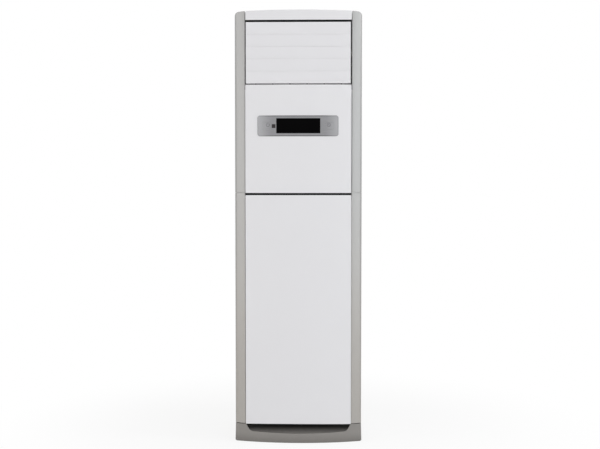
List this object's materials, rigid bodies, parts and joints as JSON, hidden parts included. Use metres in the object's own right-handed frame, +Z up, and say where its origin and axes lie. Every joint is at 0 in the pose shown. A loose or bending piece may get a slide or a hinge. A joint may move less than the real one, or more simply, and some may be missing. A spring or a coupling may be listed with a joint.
{
  "type": "floor standing air conditioner",
  "caption": "Tall floor standing air conditioner cabinet with closing horizontal louvres over swinging vanes, a display, a hinged lower front panel, a blower and a coil.",
  "frame": {"origin": "on the floor, under the middle of the object's box", "axes": "+Z up, front faces -Y, +X to the right seen from the front"},
  "size_m": [0.54, 0.41, 1.825],
  "materials": {
    "panel_white": "satin",
    "blade_white": "satin",
    "trim_silver": "satin metallic paint",
    "plinth_grey": "satin",
    "sheet_paint": "powder coat",
    "galvanised": "galvanised",
    "screw_steel": "zinc plated",
    "outlet_dark": "matt",
    "vane_grey": "matt",
    "bezel_silver": "satin metallic paint",
    "window_black": "polished",
    "motor_white": "matt",
    "foam": "expanded foam",
    "filter_grey": "matt",
    "rail_plastic": "matt",
    "blower_plastic": "matt",
    "motor_paint": "black paint",
    "fin_aluminium": "mill",
    "copper": "drawn",
    "nut_brass": "machined",
    "rubber_black": "matt",
    "board_green": "solder mask",
    "terminal_ivory": "matt"
  },
  "bodies": {
    "cabinet": {"base_pan": "galvanised", "plinth_cover": "plinth_grey", "side_panel_right": "sheet_paint", "side_panel_left": "sheet_paint", "rear_panel": "sheet_paint", "panel_screws": "screw_steel", "wall_bracket": "galvanised", "pipe_grommet": "rubber_black", "cable_gland": "rubber_black", "top_cover": "trim_silver", "top_fascia": "panel_white", "upper_trim_right": "trim_silver", "upper_trim_left": "trim_silver", "lower_trim_right": "trim_silver", "lower_trim_left": "trim_silver", "cross_bar": "galvanised", "display_panel": "panel_white", "display_bezel": "bezel_silver", "display_window": "window_black", "ir_receiver": "window_black", "display_board": "board_green", "outlet_frame": "outlet_dark", "louvre_motor": "motor_white", "vane_motor": "motor_white", "air_guide": "foam", "filter_rails": "rail_plastic", "blower_scroll": "blower_plastic", "bell_mouth": "blower_plastic", "fan_motor": "motor_paint", "motor_bracket": "galvanised", "partition_deck": "galvanised", "coil_fins": "fin_aluminium", "coil_tubes": "copper", "coil_end_plates": "galvanised", "drain_pan": "rail_plastic", "refrigerant_pipes": "copper", "flare_nuts": "nut_brass", "electrical_box": "galvanised", "box_cover": "galvanised", "control_board": "board_green", "terminal_block": "terminal_ivory"},
    "lower_panel": {"lower_panel": "panel_white"},
    "air_filter": {"air_filter": "filter_grey"},
    "key_left": {"key_left": "bezel_silver"},
    "key_right": {"key_right": "bezel_silver"},
    "blower": {"blower_wheel": "blower_plastic", "fan_shaft": "screw_steel"},
    "louvre_1": {"louvre_blade_1": "blade_white"},
    "louvre_2": {"louvre_blade_2": "blade_white"},
    "louvre_3": {"louvre_blade_3": "blade_white"},
    "louvre_4": {"louvre_blade_4": "blade_white"},
    "louvre_5": {"louvre_blade_5": "blade_white"},
    "louvre_tie_bar": {"louvre_tie_bar": "outlet_dark"},
    "vane_1": {"swing_vane_1": "vane_grey"},
    "vane_2": {"swing_vane_2": "vane_grey"},
    "vane_3": {"swing_vane_3": "vane_grey"},
    "vane_4": {"swing_vane_4": "vane_grey"},
    "vane_5": {"swing_vane_5": "vane_grey"},
    "vane_6": {"swing_vane_6": "vane_grey"},
    "vane_tie_rod": {"vane_tie_rod": "outlet_dark"}
  },
  "joints": [
    {"name": "lower_panel_hinge", "type": "hinge", "parent": "cabinet", "child": "lower_panel", "pos_m": [0, -0.177, 1.042], "axis": [-1, 0, 0], "range_deg": [0, 35]},
    {"name": "filter_lift", "type": "slide", "parent": "cabinet", "child": "air_filter", "axis": [0, 0, 1], "range_m": [0, 0.025]},
    {"name": "key_left_press", "type": "slide", "parent": "cabinet", "child": "key_left", "axis": [0, 1, 0], "range_m": [0, 0.001], "stiffness_N_per_m": 1500, "springref_m": -0.001},
    {"name": "key_right_press", "type": "slide", "parent": "cabinet", "child": "key_right", "axis": [0, 1, 0], "range_m": [0, 0.001], "stiffness_N_per_m": 1500, "springref_m": -0.001},
    {"name": "blower_spin", "type": "hinge", "parent": "cabinet", "child": "blower", "pos_m": [-0.02, 0, 0.345], "axis": [0, 1, 0], "continuous": true},
    {"name": "louvre_1_tilt", "type": "hinge", "parent": "cabinet", "child": "louvre_1", "pos_m": [0, -0.1695, 1.5436], "axis": [-1, 0, 0], "range_deg": [0, 80]},
    {"name": "louvre_2_tilt", "type": "hinge", "parent": "cabinet", "child": "louvre_2", "pos_m": [0, -0.1695, 1.5948], "axis": [-1, 0, 0], "range_deg": [0, 80]},
    {"name": "louvre_3_tilt", "type": "hinge", "parent": "cabinet", "child": "louvre_3", "pos_m": [0, -0.1695, 1.646], "axis": [-1, 0, 0], "range_deg": [0, 80]},
    {"name": "louvre_4_tilt", "type": "hinge", "parent": "cabinet", "child": "louvre_4", "pos_m": [0, -0.1695, 1.6972], "axis": [-1, 0, 0], "range_deg": [0, 80]},
    {"name": "louvre_5_tilt", "type": "hinge", "parent": "cabinet", "child": "louvre_5", "pos_m": [0, -0.1695, 1.7484], "axis": [-1, 0, 0], "range_deg": [0, 80]},
    {"name": "louvre_bar_pivot", "type": "hinge", "parent": "louvre_3", "child": "louvre_tie_bar", "pos_m": [-0.2275, -0.1555, 1.646], "axis": [-1, 0, 0], "range_deg": [-80, 0]},
    {"name": "vane_1_swing", "type": "hinge", "parent": "cabinet", "child": "vane_1", "pos_m": [-0.18333, -0.1045, 1.5192], "axis": [0, 0, 1], "range_deg": [-35, 35]},
    {"name": "vane_2_swing", "type": "hinge", "parent": "cabinet", "child": "vane_2", "pos_m": [-0.11, -0.1045, 1.5192], "axis": [0, 0, 1], "range_deg": [-35, 35]},
    {"name": "vane_3_swing", "type": "hinge", "parent": "cabinet", "child": "vane_3", "pos_m": [-0.03667, -0.1045, 1.5192], "axis": [0, 0, 1], "range_deg": [-35, 35]},
    {"name": "vane_4_swing", "type": "hinge", "parent": "cabinet", "child": "vane_4", "pos_m": [0.03667, -0.1045, 1.5192], "axis": [0, 0, 1], "range_deg": [-35, 35]},
    {"name": "vane_5_swing", "type": "hinge", "parent": "cabinet", "child": "vane_5", "pos_m": [0.11, -0.1045, 1.5192], "axis": [0, 0, 1], "range_deg": [-35, 35]},
    {"name": "vane_6_swing", "type": "hinge", "parent": "cabinet", "child": "vane_6", "pos_m": [0.18333, -0.1045, 1.5192], "axis": [0, 0, 1], "range_deg": [-35, 35]},
    {"name": "vane_rod_pivot", "type": "hinge", "parent": "vane_3", "child": "vane_tie_rod", "pos_m": [-0.03667, -0.0885, 1.5332], "axis": [0, 0, 1], "range_deg": [-35, 35]}
  ],
  "couplings": [
    {"joint": "louvre_1_tilt", "follows": "louvre_3_tilt", "ratio": 1},
    {"joint": "louvre_2_tilt", "follows": "louvre_3_tilt", "ratio": 1},
    {"joint": "louvre_4_tilt", "follows": "louvre_3_tilt", "ratio": 1},
    {"joint": "louvre_5_tilt", "follows": "louvre_3_tilt", "ratio": 1},
    {"joint": "louvre_bar_pivot", "follows": "louvre_3_tilt", "ratio": -1},
    {"joint": "vane_1_swing", "follows": "vane_3_swing", "ratio": 1},
    {"joint": "vane_2_swing", "follows": "vane_3_swing", "ratio": 1},
    {"joint": "vane_4_swing", "follows": "vane_3_swing", "ratio": 1},
    {"joint": "vane_5_swing", "follows": "vane_3_swing", "ratio": 1},
    {"joint": "vane_6_swing", "follows": "vane_3_swing", "ratio": 1},
    {"joint": "vane_rod_pivot", "follows": "vane_3_swing", "ratio": -1}
  ]
}
